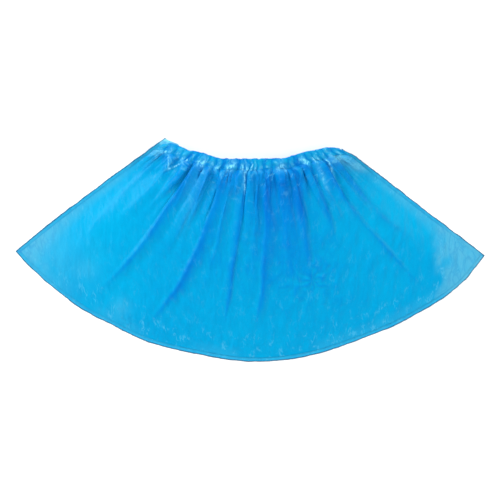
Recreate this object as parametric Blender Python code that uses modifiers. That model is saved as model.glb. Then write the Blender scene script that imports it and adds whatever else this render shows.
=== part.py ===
"""A disposable film shoe cover, laid flat on a surface, its elastic mouth towards +Y.

Two film panels lie one on the other. Their sides and their curved bottom are welded
together, and each panel's top edge is held in a folded hem with an elastic strand inside.
The strands pull the mouth in, so the film above is gathered and the pouch spreads like a
fan. Units are metres, with +Z up and the lower panel on Z = 0.

Places on a panel are given as a share across, 0 at the left side and 1 at the right, and
as a run, the distance from the mouth's rim down the film.
"""

import math

import bmesh
import bpy
from mathutils import Vector

# The film's outline, seen from above. The welded edges stand outside it.
TIP_SPAN = 0.3506
TIP_HEIGHT = 0.0795
TIP_DROP = 0.0035
MOUTH_SPAN = 0.1336
MOUTH_SHIFT = 0.0009
MOUTH_HEIGHT = 0.1522
CORNER_RISE = 0.0100
LEFT_BOW = 0.0015

# Thicknesses and clearances.
FILM = 0.0010
CLEARANCE = 0.0004
SEAT_GAP = 0.0003
SIDE_GAP = 0.0006
REST_GAP = 0.0001

# The hem, its elastic, and how the film sits in it.
ELASTIC_DIAMETER = 0.0010
HEM_DEPTH = 0.0085
FILM_IN_HEM = 0.0040
MOUTH_GAP = 0.0072

# The welded edges.
WELD_WIDTH = 0.0028
LEFT_TAB = 0.0035
RIGHT_TAB = -0.0022

# How the film stands and gathers.
SIDE_SLOPE = 0.0280
HEM_BLEND = 0.0220
GATHERS = 15
HEM_WAVE = 0.0007
FILM_WAVE = 0.0011
WAVE_RISE = 0.0120
WAVE_RUN = 0.0450

# Shares that shape the curves: of the mouth's width, of the way down, and of a fold's reach.
CORNER_CALM = 0.06
SIDE_BLEND = 0.22
FOLD_START = 0.18
FOLD_END = 0.55
GATHER_DRIFT = 0.35
SPREAD = 1.12

# Powers that shape the curves: a larger one keeps its curve full for longer.
ARCH_POWER = 0.8
BELLY_POWER = 2.2
ROW_POWER = 1.15

# Faces across and down each piece.
UPPER_COLUMNS = 76
LOWER_COLUMNS = 38
UPPER_ROWS = 15
LOWER_ROWS = 8
FOLD_ROWS = 4
SIDE_STATIONS = 22
BOTTOM_STATIONS = 64

# The rim of the mouth from above: share across, and rise as a share of CORNER_RISE.
MOUTH_RIM = (
    # across, rise
    (0.00, 1.14),
    (0.05, 1.16),
    (0.09, 0.96),
    (0.14, 0.66),
    (0.23, 0.42),
    (0.28, 0.18),
    (0.34, 0.00),
    (0.66, 0.00),
    (0.73, 0.19),
    (0.79, 0.46),
    (0.87, 0.66),
    (0.92, 0.84),
    (1.00, 0.82),
)

# Where the bottom edge falls short of its arc: share across, and depth of the dent as a
# share of TIP_HEIGHT.
BOTTOM_DENTS = (
    # across, depth
    (0.00, 0.000),
    (0.07, 0.006),
    (0.17, 0.012),
    (0.22, 0.024),
    (0.30, 0.014),
    (0.40, 0.026),
    (0.50, 0.002),
    (0.60, 0.006),
    (0.70, 0.026),
    (0.77, 0.018),
    (0.85, 0.000),
    (0.93, -0.026),
    (1.00, 0.000),
)

# The long folds that run down the upper panel from the hem. The first two columns are the
# fold's share across, at the hem and at its end; reach is how far down it runs, as a share
# of the film's run. Width, which grows on the way down, and height are shares of the
# gathers' pitch at the hem.
UPPER_FOLDS = (
    # at_hem, at_end, reach, width, height
    (0.065, 0.070, 0.75, 1.00, 0.16),
    (0.130, 0.172, 0.90, 0.90, 0.34),
    (0.255, 0.262, 0.55, 0.90, 0.24),
    (0.345, 0.295, 0.95, 0.90, 0.36),
    (0.420, 0.447, 0.92, 0.70, 0.28),
    (0.540, 0.505, 0.85, 0.80, 0.34),
    (0.590, 0.585, 0.50, 0.80, 0.22),
    (0.660, 0.600, 0.60, 0.90, 0.22),
    (0.740, 0.645, 0.70, 1.00, 0.32),
    (0.830, 0.745, 0.58, 1.00, 0.28),
    (0.870, 0.872, 0.95, 0.90, 0.26),
    (0.960, 0.912, 0.65, 0.90, 0.28),
)

# The lower panel's folds are lower, because it lies on the surface.
LOWER_FOLDS = (
    # at_hem, at_end, reach, width, height
    (0.200, 0.210, 0.60, 0.95, 0.14),
    (0.380, 0.365, 0.75, 0.85, 0.16),
    (0.620, 0.650, 0.70, 0.85, 0.16),
    (0.800, 0.790, 0.55, 0.95, 0.14),
)

# Sizes that follow from those above.
HEM_GAP = ELASTIC_DIAMETER + 2 * CLEARANCE
HEM_THICKNESS = HEM_GAP + 2 * FILM
FOLD_RADIUS = (HEM_GAP + FILM) / 2
LOWER_HEM_MIDDLE = REST_GAP + HEM_THICKNESS / 2
UPPER_HEM_LOWEST = LOWER_HEM_MIDDLE + HEM_THICKNESS + SEAT_GAP
FILM_START = HEM_DEPTH - FILM_IN_HEM
STRAND_RUN = FILM / 2 + FOLD_RADIUS + 2 * CLEARANCE
ARC_RADIUS = (TIP_SPAN**2 / 4 + TIP_HEIGHT**2) / (2 * TIP_HEIGHT)
ARC_HALF_ANGLE = math.asin(TIP_SPAN / 2 / ARC_RADIUS)
GATHER_PITCH = MOUTH_SPAN / GATHERS


def eased(low, high, value):
    """0 below low, 1 above high, and a smooth rise between them."""
    share = min(1.0, max(0.0, (value - low) / (high - low)))
    return share * share * (3 - 2 * share)


def read_table(table, share):
    """A smooth value between the rows of a table of (share, value)."""
    last = len(table) - 1
    row = next((i for i in range(last) if share <= table[i + 1][0]), last - 1)
    (x0, y0), (x1, y1) = table[row], table[row + 1]
    before, after = table[max(row - 1, 0)], table[min(row + 2, last)]
    slope0 = (y1 - before[1]) / (x1 - before[0])
    slope1 = (after[1] - y0) / (after[0] - x0)
    width = x1 - x0
    s = min(1.0, max(0.0, (share - x0) / width))
    start = (1 + 2 * s) * (1 - s) ** 2 * y0 + s * (1 - s) ** 2 * width * slope0
    end = s * s * (3 - 2 * s) * y1 + s * s * (s - 1) * width * slope1
    return start + end


def mouth_rim(across):
    """The outermost point of the hem, from above."""
    x = MOUTH_SHIFT + MOUTH_SPAN * (across - 0.5)
    return Vector((x, MOUTH_HEIGHT + CORNER_RISE * read_table(MOUTH_RIM, across)))


def bottom_edge(across):
    """The film's bottom edge, from above: an arc with shallow dents."""
    angle = ARC_HALF_ANGLE * (2 * across - 1)
    radius = ARC_RADIUS - TIP_HEIGHT * read_table(BOTTOM_DENTS, across)
    drop = TIP_DROP * (across - 0.5)
    return Vector((radius * math.sin(angle), ARC_RADIUS - radius * math.cos(angle) - drop))


def full_run(across):
    """The length of the film from the rim to the bottom edge."""
    return (bottom_edge(across) - mouth_rim(across)).length


def place(across, run):
    """The point from above at a share across and a run down from the rim."""
    rim, end = mouth_rim(across), bottom_edge(across)
    down = (end - rim).normalized()
    share = run / (end - rim).length
    bow = LEFT_BOW * (1 - across) ** 4 * 4 * share * (1 - share)
    return rim + down * run + Vector((down.y, -down.x)) * bow


def arch(across):
    """How far the mouth is open, as a share: 0 at its corners and 1 in the middle."""
    return math.sin(math.pi * across) ** ARCH_POWER if 0 < across < 1 else 0.0


def gather(across):
    """The small waves of the gathered hem, from -1 to 1, still at both corners."""
    drift = GATHER_DRIFT * math.sin(3 * math.pi * across)
    calm = eased(0.0, CORNER_CALM, across) * eased(0.0, CORNER_CALM, 1 - across)
    return math.cos(2 * math.pi * (GATHERS * across + drift)) * calm


def upper_hem_middle(across):
    """The height of the middle of the upper hem."""
    return UPPER_HEM_LOWEST + MOUTH_GAP * arch(across) + HEM_WAVE * gather(across)


def folds_height(folds, across, share, row_length):
    """The height that a table of folds adds at a share of the way down."""
    height = 0.0
    for at_hem, at_end, reach, width, rise in folds:
        if share >= reach:
            continue
        along = share / reach
        middle = at_hem + (at_end - at_hem) * along
        half = width * GATHER_PITCH * (0.5 + along)
        off = abs(across - middle) * row_length / half
        if off < 1:
            fade = eased(0.0, FOLD_START, share) * (1 - eased(FOLD_END, 1.0, along))
            height += rise * GATHER_PITCH * fade * (0.5 + 0.5 * math.cos(math.pi * off))
    return height


def side_fade(across, share, row_length):
    """0 on a welded side and 1 well inside it. It starts below the hem."""
    inside = min(across, 1 - across) * row_length
    slope = eased(0.0, SIDE_SLOPE, inside)
    return 1 - eased(0.0, SIDE_BLEND, share) * (1 - slope)


def row_length_at(share):
    """The panel's width across, at a share of the way down."""
    return MOUTH_SPAN + (TIP_SPAN * SPREAD - MOUTH_SPAN) * share


def share_below_hem(across, run):
    """How far down the film, from 0 at the hem's open edge to 1 at the bottom."""
    return max(0.0, (run - HEM_DEPTH) / (full_run(across) - HEM_DEPTH))


def upper_height(across, run):
    """The height of the middle of the upper panel's wall."""
    share = share_below_hem(across, run)
    width = row_length_at(share)
    edge = FILM + SEAT_GAP + FILM / 2
    hem = UPPER_HEM_LOWEST + MOUTH_GAP * arch(across)
    fade = side_fade(across, share, width)
    belly = (hem - edge) * (1 - share**BELLY_POWER) * fade
    below = run - HEM_DEPTH
    wave = HEM_WAVE + (FILM_WAVE - HEM_WAVE) * eased(0.0, WAVE_RISE, below)
    waves = wave * (1 - eased(WAVE_RISE, WAVE_RUN, below)) * gather(across)
    return edge + belly + waves + fade * folds_height(UPPER_FOLDS, across, share, width)


def lower_height(across, run):
    """The height of the middle of the lower panel's wall, flat on the surface."""
    share = share_below_hem(across, run)
    width = row_length_at(share)
    into_hem = 1 - eased(HEM_DEPTH, HEM_DEPTH + HEM_BLEND, run)
    flat = FILM / 2
    fade = side_fade(across, share, width)
    folds = fade * folds_height(LOWER_FOLDS, across, share, width)
    return flat + (LOWER_HEM_MIDDLE - flat) * into_hem + folds


def material(name, colour, roughness):
    made = bpy.data.materials.new(name)
    made.use_nodes = True
    shader = made.node_tree.nodes["Principled BSDF"]
    shader.inputs["Base Color"].default_value = (*colour, 1.0)
    shader.inputs["Roughness"].default_value = roughness
    shader.inputs["Metallic"].default_value = 0.0
    return made


def add_object(name, data, finish, collection):
    made = bpy.data.objects.new(name, data)
    collection.objects.link(made)
    data.materials.append(finish)
    return made


def sheet(name, columns, rows, surface, finish, collection):
    """A wall of film: a grid laid on surface(across, down), then given its thickness."""
    mesh = bpy.data.meshes.new(name)
    grid = bmesh.new()
    bmesh.ops.create_grid(grid, x_segments=columns, y_segments=rows, size=0.5)
    for vertex in grid.verts:
        vertex.co = surface(vertex.co.x + 0.5, vertex.co.y + 0.5)
    grid.to_mesh(mesh)
    grid.free()
    made = add_object(name, mesh, finish, collection)
    wall = made.modifiers.new("film_wall", "SOLIDIFY")
    wall.thickness = FILM
    wall.offset = 0.0
    wall.use_even_offset = True
    mesh.shade_smooth()
    return made


def film_panel(name, columns, rows, height, finish, collection):
    """One panel of the pouch, from inside the hem to the welded bottom edge."""

    def surface(across, down):
        row = round(down * rows)
        run = FILM_START
        if row > 0:
            share = ((row - 1) / (rows - 1)) ** ROW_POWER
            run = HEM_DEPTH + (full_run(across) - HEM_DEPTH) * share
        flat = place(across, run)
        return Vector((flat.x, flat.y, height(across, run)))

    return sheet(name, columns, rows, surface, finish, collection)


def hem(name, columns, middle, finish, collection):
    """The film folded over the elastic: a leaf outside, the fold, and a leaf inside."""
    leaf = HEM_DEPTH - FILM / 2 - FOLD_RADIUS
    rows = FOLD_ROWS + 2

    def surface(across, down):
        row = round(down * rows)
        turn = math.pi * min(FOLD_ROWS, max(0, row - 1)) / FOLD_ROWS
        run = HEM_DEPTH
        if 0 < row < rows:
            run -= leaf + FOLD_RADIUS * math.sin(turn)
        rise = FOLD_RADIUS * math.cos(turn)
        flat = place(across, run)
        return Vector((flat.x, flat.y, middle(across) + rise))

    return sheet(name, columns, rows, surface, finish, collection)


def elastic(name, columns, middle, finish, collection):
    """The strand in a hem's fold, as long as the hem."""
    curve = bpy.data.curves.new(name, "CURVE")
    curve.dimensions = "3D"
    curve.bevel_depth = ELASTIC_DIAMETER / 2
    curve.bevel_resolution = 1
    curve.use_fill_caps = True
    strand = curve.splines.new("POLY")
    strand.points.add(columns)
    for i, point in enumerate(strand.points):
        across = i / columns
        flat = place(across, STRAND_RUN)
        point.co = (flat.x, flat.y, middle(across), 1.0)
    return add_object(name, curve, finish, collection)


def weld(name, stations, inner, outer, top, finish, collection):
    """A welded edge: a flat bar between two lines from above, as high as the films."""
    mesh = bpy.data.meshes.new(name)
    bar = bmesh.new()
    bmesh.ops.create_cube(bar, size=1.0)
    lengthwise = [e for e in bar.edges if abs(e.verts[0].co.x - e.verts[1].co.x) > 0.5]
    bmesh.ops.subdivide_edges(bar, edges=lengthwise, cuts=stations - 1)
    for vertex in bar.verts:
        along, out, up = (value + 0.5 for value in vertex.co)
        flat = inner(along).lerp(outer(along), out)
        vertex.co = (flat.x, flat.y, top(along) * up)
    if bar.calc_volume(signed=True) < 0:
        bmesh.ops.reverse_faces(bar, faces=bar.faces)
    bar.to_mesh(mesh)
    bar.free()
    return add_object(name, mesh, finish, collection)


def outward(across, side):
    """The unit normal of a welded line in plan, away from the film."""
    if side:
        line = bottom_edge(across) - mouth_rim(across)
        turn = 1 if across > 0.5 else -1
        return Vector((-line.y, line.x)).normalized() * turn
    step = 1 / BOTTOM_STATIONS
    line = bottom_edge(min(1.0, across + step)) - bottom_edge(max(0.0, across - step))
    return Vector((line.y, -line.x)).normalized()


def mitre(across):
    """How a unit of width reaches out at a tip, where a side weld meets the bottom one."""
    side, bottom = outward(across, True), outward(across, False)
    return (side + bottom) / (1 + side.dot(bottom))


def side_weld(name, across, tab, finish, collection):
    """The weld down one side, from a tab above the rim to the mitre at the tip."""
    normal = outward(across, True)
    down = (bottom_edge(across) - mouth_rim(across)).normalized()

    def line(offset):
        tip = bottom_edge(across) + mitre(across) * offset - down * SEAT_GAP
        head = mouth_rim(across) + normal * offset - down * tab

        def point(along):
            run = full_run(across) * along
            bow = place(across, run) - mouth_rim(across) - down * run
            return head.lerp(tip, along) + bow

        return point

    def top(along):
        run = max(0.0, (full_run(across) + tab) * along - tab)
        if run < HEM_DEPTH:
            return upper_hem_middle(across) + HEM_THICKNESS / 2
        return upper_height(across, run) + FILM / 2

    inner, outer = line(SIDE_GAP), line(SEAT_GAP + WELD_WIDTH)
    return weld(name, SIDE_STATIONS, inner, outer, top, finish, collection)


def bottom_weld(name, finish, collection):
    """The weld along the curved bottom edge, mitred at both tips."""

    def line(offset):
        def point(along):
            share = min(1.0, max(0.0, along))
            if share in (0.0, 1.0):
                inward = (bottom_edge(0.5) - bottom_edge(share)).normalized()
                return bottom_edge(share) + mitre(share) * offset + inward * SEAT_GAP
            return bottom_edge(share) + outward(share, False) * offset

        return point

    def top(along):
        return 2 * FILM + SEAT_GAP

    inner, outer = line(SEAT_GAP), line(SEAT_GAP + WELD_WIDTH)
    return weld(name, BOTTOM_STATIONS, inner, outer, top, finish, collection)


def centre_on_surface(pieces, welds):
    """Moves the pieces so that the origin is under the middle of the welded outline."""
    rim = [vertex.co for piece in welds for vertex in piece.data.vertices]
    middle_x = (min(co.x for co in rim) + max(co.x for co in rim)) / 2
    middle_y = (min(co.y for co in rim) + max(co.y for co in rim)) / 2
    for piece in pieces:
        piece.location = (-middle_x, -middle_y, 0.0)


def main():
    for old in list(bpy.data.objects):
        bpy.data.objects.remove(old)
    cover = bpy.data.collections.new("shoe_cover")
    bpy.context.scene.collection.children.link(cover)

    film = material("blue_film", (0.0, 0.36, 0.82), 0.30)
    hem_film = material("hem_film", (0.0, 0.26, 0.76), 0.32)
    welded = material("welded_film", (0.02, 0.30, 0.66), 0.38)
    rubber = material("elastic", (0.02, 0.34, 0.62), 0.55)

    welds = [
        side_weld("left_weld", 0.0, LEFT_TAB, welded, cover),
        side_weld("right_weld", 1.0, RIGHT_TAB, welded, cover),
        bottom_weld("bottom_weld", welded, cover),
    ]
    pieces = [
        film_panel("lower_panel", LOWER_COLUMNS, LOWER_ROWS, lower_height, film, cover),
        film_panel("upper_panel", UPPER_COLUMNS, UPPER_ROWS, upper_height, film, cover),
        hem("lower_hem", LOWER_COLUMNS, lambda _: LOWER_HEM_MIDDLE, hem_film, cover),
        hem("upper_hem", UPPER_COLUMNS, upper_hem_middle, hem_film, cover),
        elastic("lower_elastic", LOWER_COLUMNS, lambda _: LOWER_HEM_MIDDLE, rubber, cover),
        elastic("upper_elastic", UPPER_COLUMNS, upper_hem_middle, rubber, cover),
    ]
    centre_on_surface(pieces + welds, welds)


main()
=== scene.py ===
"""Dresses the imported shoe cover: thin wrinkled film, gathered hems, elastic and welded edges.

The film panels, hems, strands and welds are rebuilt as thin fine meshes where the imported
part stands, in metres, with +Z up and the mouth towards +Y. A place on a panel is a share
across, 0 at the left side and 1 at the right, and a run down from the rim.
"""

import math

import bmesh
import bpy
import numpy as np
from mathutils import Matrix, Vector


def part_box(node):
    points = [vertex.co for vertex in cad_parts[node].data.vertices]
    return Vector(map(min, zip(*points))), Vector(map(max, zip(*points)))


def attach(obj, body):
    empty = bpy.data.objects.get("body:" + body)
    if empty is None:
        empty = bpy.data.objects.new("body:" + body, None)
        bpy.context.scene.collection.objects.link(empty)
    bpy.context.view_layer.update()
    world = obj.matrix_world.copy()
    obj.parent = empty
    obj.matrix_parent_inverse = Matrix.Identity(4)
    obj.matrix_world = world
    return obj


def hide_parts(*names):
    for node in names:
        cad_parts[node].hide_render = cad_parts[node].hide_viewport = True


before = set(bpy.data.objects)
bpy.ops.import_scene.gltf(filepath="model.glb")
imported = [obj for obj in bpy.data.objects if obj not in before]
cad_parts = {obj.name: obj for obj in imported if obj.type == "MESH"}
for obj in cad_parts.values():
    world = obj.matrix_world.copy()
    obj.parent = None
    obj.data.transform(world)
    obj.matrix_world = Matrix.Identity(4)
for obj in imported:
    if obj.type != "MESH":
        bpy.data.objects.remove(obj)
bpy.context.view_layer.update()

bl_info = {
    "name": "Film Shoe Cover",
    "version": (1, 0, 0),
    "blender": (4, 5, 0),
    "location": "View3D > Sidebar > Shoe Cover",
    "description": "Builds a disposable film shoe cover, laid flat, and its studio",
    "category": "Object",
}

# The pouch in plan, as in the part's source.
TIP_SPAN = 0.3506
TIP_HEIGHT = 0.0795
TIP_DROP = 0.0035
MOUTH_SPAN = 0.1336
MOUTH_SHIFT = 0.0009
MOUTH_HEIGHT = 0.1522
CORNER_RISE = 0.0100
LEFT_BOW = 0.0015
HEM_DEPTH = 0.0085
FILM_IN_HEM = 0.0040
MOUTH_GAP = 0.0072
SIDE_SLOPE = 0.0280
LEFT_TAB, RIGHT_TAB = 0.0035, -0.0022
WELD_WIDTH = 0.0031
ARC_RADIUS = (TIP_SPAN**2 / 4 + TIP_HEIGHT**2) / (2 * TIP_HEIGHT)
ARC_HALF_ANGLE = math.asin(TIP_SPAN / 2 / ARC_RADIUS)

# The thin film, welds and strands that take the place of the part's thicker ones.
SPREAD = 1.12  # the lowest row of film, as a share of the tips' span
LOWER_LEVEL = 0.00015
WELD_LEVEL = 0.0001
FUSED_THICKNESS = 0.00012
TAB_FLAP = 0.0066
HEM_RADIUS = 0.0009
STRAND_RADIUS = 0.0005
STRAND_RUN = 0.0030

MOUTH_RIM = (
    # across, rise as a share of CORNER_RISE
    (0.00, 1.14),
    (0.05, 1.16),
    (0.09, 0.96),
    (0.14, 0.66),
    (0.23, 0.42),
    (0.28, 0.18),
    (0.34, 0.00),
    (0.66, 0.00),
    (0.73, 0.19),
    (0.79, 0.46),
    (0.87, 0.66),
    (0.92, 0.84),
    (1.00, 0.82),
)
BOTTOM_DENTS = (
    # across, depth as a share of TIP_HEIGHT
    (0.00, 0.000),
    (0.07, 0.006),
    (0.17, 0.012),
    (0.22, 0.024),
    (0.30, 0.014),
    (0.40, 0.026),
    (0.50, 0.002),
    (0.60, 0.006),
    (0.70, 0.026),
    (0.77, 0.018),
    (0.85, 0.000),
    (0.93, -0.026),
    (1.00, 0.000),
)

# The long folds of the upper panel. A fold's sharp edge runs through three shares across:
# at the hem, half way and at its end. Reach is a share of the way down. Sharp is the side
# that the film is folded over to, -1 for left and 1 for right. The half widths, the height
# and the lean, which is how far the crest tips over, are in millimetres.
LONG_FOLDS = (
    # at_hem, half_way, at_end, reach, top_width, end_width, height, sharp, lean, tint
    (0.034, 0.056, 0.076, 0.82, 3.5, 8.0, 1.0, -1, 0.8, 0.20),
    (0.120, 0.112, 0.098, 0.50, 3.0, 6.0, 0.9, -1, 0.7, 0.14),
    (0.216, 0.198, 0.160, 0.95, 8.0, 6.0, 1.8, -1, 1.9, 0.60),
    (0.290, 0.282, 0.268, 0.60, 3.0, 6.0, 1.2, 1, 1.2, 0.20),
    (0.363, 0.338, 0.279, 0.98, 9.0, 5.6, 1.7, -1, 1.5, 0.70),
    (0.418, 0.398, 0.384, 0.66, 3.0, 5.5, 1.2, -1, 1.3, 0.20),
    (0.476, 0.459, 0.448, 0.88, 4.4, 4.0, 1.5, 1, 1.2, 0.58),
    (0.527, 0.512, 0.494, 0.52, 3.4, 4.5, 0.9, -1, 0.8, 0.18),
    (0.568, 0.540, 0.506, 0.88, 8.0, 4.6, 1.8, -1, 1.9, 0.60),
    (0.632, 0.612, 0.596, 0.60, 5.0, 6.0, 1.4, -1, 1.4, 0.24),
    (0.668, 0.648, 0.642, 0.56, 5.0, 5.0, 1.3, 1, 1.4, 0.26),
    (0.726, 0.684, 0.658, 0.64, 9.0, 5.6, 1.7, 1, 1.5, 0.54),
    (0.792, 0.777, 0.756, 0.50, 5.5, 4.0, 1.6, 1, 1.0, 0.36),
    (0.846, 0.858, 0.886, 0.97, 5.0, 5.0, 1.3, 1, 0.5, 0.38),
    (0.920, 0.913, 0.931, 0.66, 6.0, 8.0, 1.3, 1, 0.5, 0.40),
    (0.966, 0.958, 0.950, 0.45, 2.6, 5.0, 0.9, -1, 0.6, 0.14),
)

# Pale ridges where the film is stretched over a fold, painted highlights with some whitening:
# shares across at the hem and at the end, the reach, the half width in millimetres, and how pale
# it is.
PALE_RIDGES = (
    # at_hem, at_end, reach, half_width, paleness
    (0.262, 0.283, 0.42, 4.0, 0.16),
    (0.459, 0.467, 0.15, 0.8, 1.00),
    (0.826, 0.806, 0.22, 1.0, 0.60),
    (0.880, 0.852, 0.16, 0.7, 0.90),
    (0.170, 0.108, 0.13, 0.6, 1.00),
    (0.080, 0.140, 0.11, 0.5, 1.00),
    (0.060, 0.046, 0.10, 0.7, 0.80),
    (0.040, 0.078, 0.58, 2.2, 0.12),
)

# Whitened, crushed spots of film: milkier and crinkled, with a painted highlight at half their
# paleness.
PALE_SPOTS = (
    # across, run down in metres, radius in millimetres, paleness
    (0.945, 0.012, 5.0, 1.2),
    (0.985, 0.022, 5.0, 1.2),
    (0.020, 0.010, 4.0, 0.7),
    (0.225, 0.134, 7.0, 0.2),
    (0.120, 0.120, 7.0, 0.12),
)

# Broad patches where the two films lie smooth and light, or close and deep.
SOFT_PATCHES = (
    # across, share, radius in millimetres, tint
    (0.115, 0.62, 26.0, -0.16),
    (0.930, 0.42, 22.0, -0.20),
    (0.200, 0.88, 24.0, -0.14),
    (0.480, 0.92, 34.0, -0.07),
    (0.800, 0.86, 24.0, -0.06),
    (0.330, 0.12, 14.0, 0.10),
    (0.600, 0.20, 18.0, 0.12),
    (0.710, 0.72, 18.0, 0.05),
)

# The puffs of gathered hem between the pleats. Paleness is how much painted highlight, with some
# whitening, each puff gets.
HEM_PUFFS = (
    # middle, half_width, height in millimetres, paleness
    (0.022, 0.022, 0.7, 0.45),
    (0.066, 0.020, 0.9, 0.50),
    (0.114, 0.020, 0.8, 0.65),
    (0.154, 0.018, 1.0, 0.55),
    (0.193, 0.011, 0.6, 0.25),
    (0.238, 0.026, 1.2, 0.85),
    (0.284, 0.014, 0.9, 0.55),
    (0.320, 0.016, 1.0, 0.65),
    (0.394, 0.036, 1.3, 1.00),
    (0.450, 0.012, 0.7, 0.60),
    (0.472, 0.010, 0.9, 0.85),
    (0.495, 0.010, 0.8, 0.85),
    (0.518, 0.011, 0.9, 0.85),
    (0.549, 0.016, 1.0, 0.35),
    (0.600, 0.014, 0.7, 0.25),
    (0.662, 0.042, 1.4, 0.85),
    (0.722, 0.014, 0.7, 0.30),
    (0.779, 0.018, 1.2, 0.90),
    (0.815, 0.012, 0.7, 0.30),
    (0.846, 0.015, 1.0, 0.65),
    (0.880, 0.014, 0.8, 0.35),
    (0.921, 0.020, 1.0, 0.35),
    (0.968, 0.022, 0.7, 0.55),
)

# Faces across and down each piece of film.
UPPER_COLUMNS, UPPER_ROWS = 440, 190
LOWER_COLUMNS, LOWER_ROWS = 260, 110
HEM_COLUMNS, LEAF_ROWS, FOLD_ROWS = 620, 14, 8

# Points along the bottom weld and along a strand.
WELD_STATIONS, STRAND_POINTS = 420, 160

# How many short folds a panel has, and how many creases run out from one spot.
SMALL_FOLDS, STAR_RAYS = 70, 7

# Places on a fold's profile, which runs from -1 to 1: the crest of its shape, the crest of
# its tint, and the sharp edge that LONG_FOLDS gives.
FOLD_CREST, TINT_CREST, SHARP_EDGE = 0.42, 0.36, 0.62

# Each square lamp's side, and the floor's profile: how far out and how high.
LAMP_SIZE = 1.0
FLOOR = ((0, 0), (2.6, 0), (3.0, 0.06), (3.3, 0.25), (3.5, 0.6), (3.6, 1.2), (3.6, 3.4))

MM = 0.001


def eased(low, high, value):
    """0 below low, 1 above high, and a smooth rise between them."""
    share = np.clip((value - low) / (high - low), 0.0, 1.0)
    return share * share * (3 - 2 * share)


def bell(value, width):
    """1 where the value is 0, and smoothly less away from it."""
    return np.exp(-((value / width) ** 2))


def read_table(table, share):
    """Smooth values between the rows of a table of (share, value)."""
    xs, ys = (np.array(column) for column in zip(*table))
    share = np.clip(np.asarray(share, float), 0.0, 1.0)
    row = np.clip(np.searchsorted(xs, share, side="left") - 1, 0, len(xs) - 2)
    before, after = np.maximum(row - 1, 0), np.minimum(row + 2, len(xs) - 1)
    x0, x1, y0, y1 = xs[row], xs[row + 1], ys[row], ys[row + 1]
    slope0 = (y1 - ys[before]) / (x1 - xs[before])
    slope1 = (ys[after] - y0) / (xs[after] - x0)
    width = x1 - x0
    s = (share - x0) / width
    start = (1 + 2 * s) * (1 - s) ** 2 * y0 + s * (1 - s) ** 2 * width * slope0
    return start + s * s * (3 - 2 * s) * y1 + s * s * (s - 1) * width * slope1


def mouth_rim(across):
    """The rim of the mouth, in plan."""
    x = MOUTH_SHIFT + MOUTH_SPAN * (across - 0.5)
    return np.stack((x, MOUTH_HEIGHT + CORNER_RISE * read_table(MOUTH_RIM, across)), -1)


def bottom_edge(across):
    """The inner edge of the bottom weld, in plan."""
    angle = ARC_HALF_ANGLE * (2 * across - 1)
    radius = ARC_RADIUS - TIP_HEIGHT * read_table(BOTTOM_DENTS, across)
    drop = TIP_DROP * (across - 0.5)
    return np.stack((radius * np.sin(angle), ARC_RADIUS - radius * np.cos(angle) - drop), -1)


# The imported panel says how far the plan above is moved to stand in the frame.
PANEL_LOW, PANEL_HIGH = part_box("lower_panel")
LOWEST = bottom_edge(np.linspace(0, 1, WELD_STATIONS))[:, 1].min()
PLAN_MOVE = np.array(((PANEL_LOW.x + PANEL_HIGH.x) / 2, PANEL_LOW.y - LOWEST))


def full_run(across):
    """How far it is from the rim down to the bottom weld."""
    return np.linalg.norm(bottom_edge(across) - mouth_rim(across), axis=-1)


# Each panel as it was cut, before the elastic gathered it: the bottom weld's length, and
# from the bottom weld to the edge inside the hem, which is less at the sides.
CUT = (2 * ARC_RADIUS * ARC_HALF_ANGLE, MOUTH_HEIGHT - HEM_DEPTH + FILM_IN_HEM)
CUT_AREA = CUT[0] * float(np.mean(full_run(np.linspace(0, 1, 200))) - HEM_DEPTH + FILM_IN_HEM)


def place(across, run):
    """The point in plan at a share across and a run down from the rim."""
    rim, end = mouth_rim(across), bottom_edge(across)
    length = np.linalg.norm(end - rim, axis=-1)
    down = (end - rim) / length[..., None]
    share = run / length
    bow = LEFT_BOW * (1 - across) ** 4 * 4 * share * (1 - share)
    side = np.stack((down[..., 1], -down[..., 0]), -1)
    return rim + down * run[..., None] + side * bow[..., None] + PLAN_MOVE


def across_way(across, run):
    """The unit vector in plan that points to the right along the panel."""
    step = 0.001
    way = place(np.minimum(across + step, 1.0), run) - place(np.maximum(across - step, 0.0), run)
    return way / np.linalg.norm(way, axis=-1)[..., None]


def row_length_at(share):
    """How long a row of film is, at a share of the way down from the hem."""
    return MOUTH_SPAN + (TIP_SPAN * SPREAD - MOUTH_SPAN) * share


def lumps(x, y, seed):
    """Smooth random values from -1 to 1, with lumps about 1 wide in x and y."""
    size = 128
    corners = np.random.default_rng(seed).uniform(-1, 1, (size, size))
    column, row = np.floor(x).astype(int), np.floor(y).astype(int)
    u, v = eased(0, 1, x - column), eased(0, 1, y - row)

    def corner(right, up):
        return corners[(column + right) % size, (row + up) % size]

    low = corner(0, 0) * (1 - u) + corner(1, 0) * u
    high = corner(0, 1) * (1 - u) + corner(1, 1) * u
    return low * (1 - v) + high * v


def creases(x, y, pitch, stretch, seed, ways=7):
    """Sharp criss-cross creases, from -1 to 1. They run along y as far as stretch says."""
    random = np.random.default_rng(seed)
    total = np.zeros_like(x)
    for way in range(ways):
        turn = random.uniform(0, math.pi)
        wave = pitch * random.uniform(0.7, 1.6)
        bend = 0.9 * wave * lumps(x / (2.2 * wave), y / (3.5 * wave), seed + 31 + way)
        along = (x * math.cos(turn) + y * math.sin(turn) / stretch + bend) / wave
        ridge = 1 - 4 * np.abs(along - np.floor(along + 0.5))
        patch = 0.5 + 0.5 * lumps(x / (4 * wave), y / (5 * wave), seed + 77 + way)
        total += ridge * patch
    return total / ways * 1.8


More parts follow.
